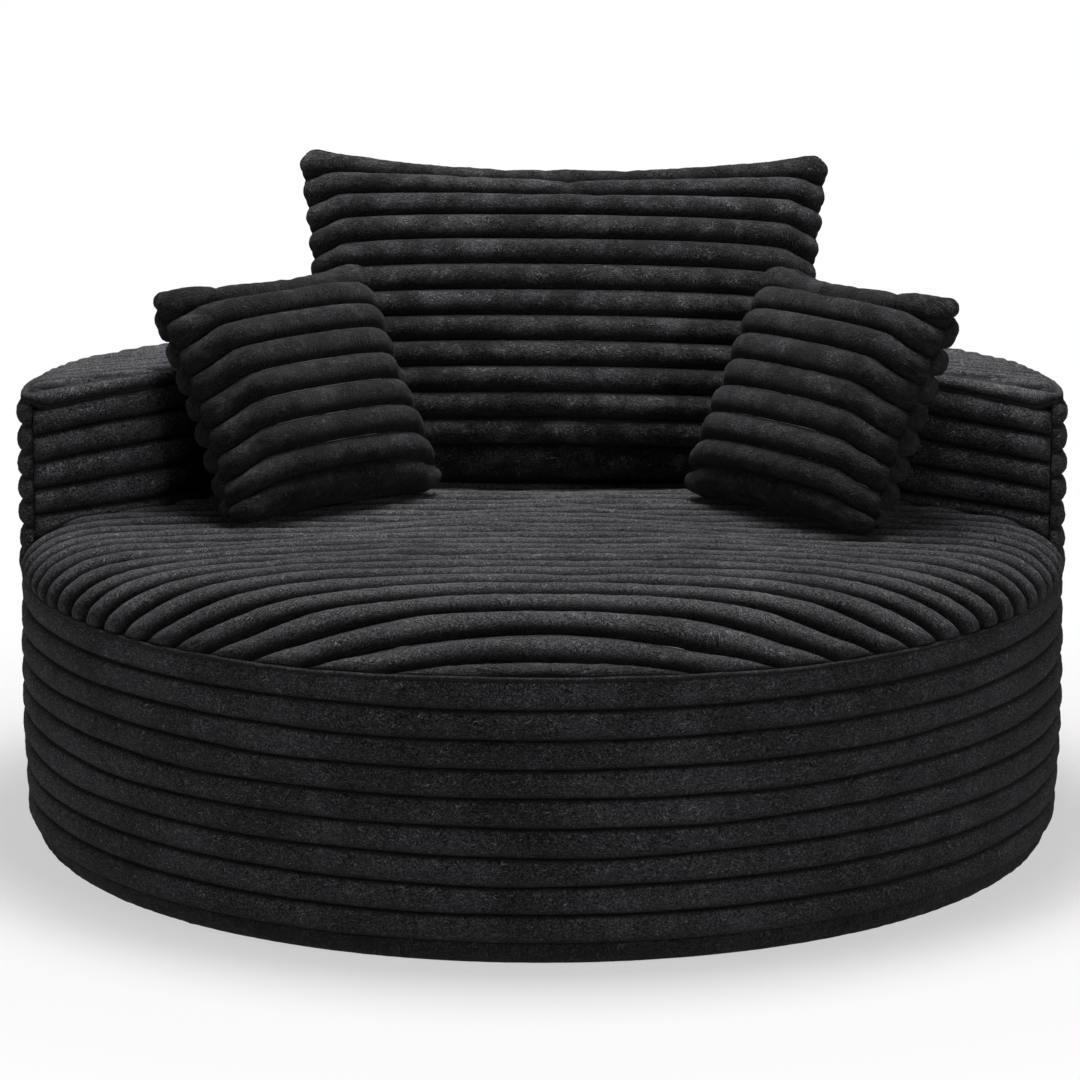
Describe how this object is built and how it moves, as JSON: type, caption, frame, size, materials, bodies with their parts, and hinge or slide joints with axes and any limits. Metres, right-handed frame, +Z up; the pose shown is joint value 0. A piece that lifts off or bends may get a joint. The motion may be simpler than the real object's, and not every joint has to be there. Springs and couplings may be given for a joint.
{
  "type": "lounge chair",
  "caption": "Round channel-plush lounge chair: crowned drum seat, C-shaped bolster, leaning back pillow and throw pillows, all with zipped covers.",
  "frame": {"origin": "on the floor under the axis of the drum seat", "axes": "+Z up, the front of the chair faces -Y, +X to the right seen from the front"},
  "size_m": [1.2798, 1.2799, 0.7804],
  "materials": {
    "plush": "channelled long-pile plush",
    "welt": "plush-covered piping",
    "base_cloth": "woven base cloth",
    "lining": "non-woven lining",
    "foam": "open-cell foam",
    "polyester_fibre": "carded fibre",
    "hook_and_loop": "hook and loop pile",
    "zip_tape": "woven tape",
    "zip_coil": "moulded coil",
    "zip_metal": "black enamel"
  },
  "bodies": {
    "root": {"bolster_bottom_panel": "base_cloth", "bolster_core_foam": "foam", "bolster_fibre_wrap": "polyester_fibre", "bolster_inner_band": "plush", "bolster_inner_liner": "lining", "bolster_outer_band": "plush", "bolster_top_panel": "plush", "bolster_zip_coil": "zip_coil", "bolster_zip_stops": "zip_metal", "bolster_zip_tape": "zip_tape", "hook_strips": "hook_and_loop", "loop_strips": "hook_and_loop", "seat_bottom_panel": "base_cloth", "seat_comfort_foam": "foam", "seat_core_foam": "foam", "seat_fibre_wrap": "polyester_fibre", "seat_inner_liner": "lining", "seat_side_band": "plush", "seat_top_panel": "plush", "seat_top_welt": "welt", "seat_zip_coil": "zip_coil", "seat_zip_stops": "zip_metal", "seat_zip_tape": "zip_tape"},
    "seat_zip_slider": {"seat_zip_slider": "zip_metal"},
    "seat_zip_pull": {"seat_zip_pull": "zip_metal"},
    "bolster_zip_slider": {"bolster_zip_slider": "zip_metal"},
    "bolster_zip_pull": {"bolster_zip_pull": "zip_metal"},
    "back_pillow": {"back_pillow_back_panel": "plush", "back_pillow_fill": "polyester_fibre", "back_pillow_front_panel": "plush", "back_pillow_inner_case": "lining", "back_pillow_zip_coil": "zip_coil", "back_pillow_zip_stops": "zip_metal", "back_pillow_zip_tape": "zip_tape"},
    "back_pillow_zip_slider": {"back_pillow_zip_slider": "zip_metal"},
    "back_pillow_zip_pull": {"back_pillow_zip_pull": "zip_metal"},
    "left_pillow": {"left_pillow_back_panel": "plush", "left_pillow_fill": "polyester_fibre", "left_pillow_front_panel": "plush", "left_pillow_inner_case": "lining", "left_pillow_zip_coil": "zip_coil", "left_pillow_zip_stops": "zip_metal", "left_pillow_zip_tape": "zip_tape"},
    "left_pillow_zip_slider": {"left_pillow_zip_slider": "zip_metal"},
    "left_pillow_zip_pull": {"left_pillow_zip_pull": "zip_metal"},
    "right_pillow": {"right_pillow_back_panel": "plush", "right_pillow_fill": "polyester_fibre", "right_pillow_front_panel": "plush", "right_pillow_inner_case": "lining", "right_pillow_zip_coil": "zip_coil", "right_pillow_zip_stops": "zip_metal", "right_pillow_zip_tape": "zip_tape"},
    "right_pillow_zip_slider": {"right_pillow_zip_slider": "zip_metal"},
    "right_pillow_zip_pull": {"right_pillow_zip_pull": "zip_metal"}
  },
  "joints": [
    {"name": "seat_zip_slide", "type": "hinge", "parent": "root", "child": "seat_zip_slider", "pos_m": [0, 0, 0.0168], "axis": [0, 0, 1], "range_deg": [-158.33, 0]},
    {"name": "seat_zip_pull_flip", "type": "hinge", "parent": "seat_zip_slider", "child": "seat_zip_pull", "pos_m": [-0.61071, 0.11691, 0.0168], "axis": [0, 0, 1], "range_deg": [0, 100]},
    {"name": "bolster_zip_slide", "type": "hinge", "parent": "root", "child": "bolster_zip_slider", "pos_m": [0, 0, 0.39227], "axis": [0, 0, 1], "range_deg": [-122.36, 0]},
    {"name": "bolster_zip_pull_flip", "type": "hinge", "parent": "bolster_zip_slider", "child": "bolster_zip_pull", "pos_m": [-0.55441, 0.30507, 0.39227], "axis": [0, 0, 1], "range_deg": [0, 100]},
    {"name": "back_pillow_lift", "type": "slide", "parent": "root", "child": "back_pillow", "axis": [0, 0, 1], "range_m": [0, 0.4]},
    {"name": "back_pillow_zip_slide", "type": "hinge", "parent": "back_pillow", "child": "back_pillow_zip_slider", "pos_m": [0.028, -0.82685, 0.93644], "axis": [0, 0.3746, 0.9272], "range_deg": [-18.63, 0]},
    {"name": "back_pillow_zip_pull_flip", "type": "hinge", "parent": "back_pillow_zip_slider", "child": "back_pillow_zip_pull", "pos_m": [-0.17305, 0.3097, 0.47724], "axis": [0, 0.3746, 0.9272], "range_deg": [0, 100]},
    {"name": "left_pillow_lift", "type": "slide", "parent": "root", "child": "left_pillow", "axis": [0, 0, 1], "range_m": [0, 0.4]},
    {"name": "left_pillow_zip_slide", "type": "hinge", "parent": "left_pillow", "child": "left_pillow_zip_slider", "pos_m": [-0.08523, -0.23559, 0.65386], "axis": [-0.339, 0.3737, 0.8634], "range_deg": [-23.72, 0]},
    {"name": "left_pillow_zip_pull_flip", "type": "hinge", "parent": "left_pillow_zip_slider", "child": "left_pillow_zip_pull", "pos_m": [-0.36626, -0.0493, 0.46289], "axis": [-0.339, 0.3737, 0.8634], "range_deg": [0, 100]},
    {"name": "right_pillow_lift", "type": "slide", "parent": "root", "child": "right_pillow", "axis": [0, 0, 1], "range_m": [0, 0.4]},
    {"name": "right_pillow_zip_slide", "type": "hinge", "parent": "right_pillow", "child": "right_pillow_zip_slider", "pos_m": [0.08767, -0.25828, 0.64268], "axis": [0.3583, 0.2963, 0.8853], "range_deg": [-23.72, 0]},
    {"name": "right_pillow_zip_pull_flip", "type": "hinge", "parent": "right_pillow_zip_slider", "child": "right_pillow_zip_pull", "pos_m": [0.30151, 0.01206, 0.46566], "axis": [0.3583, 0.2963, 0.8853], "range_deg": [0, 100]}
  ]
}
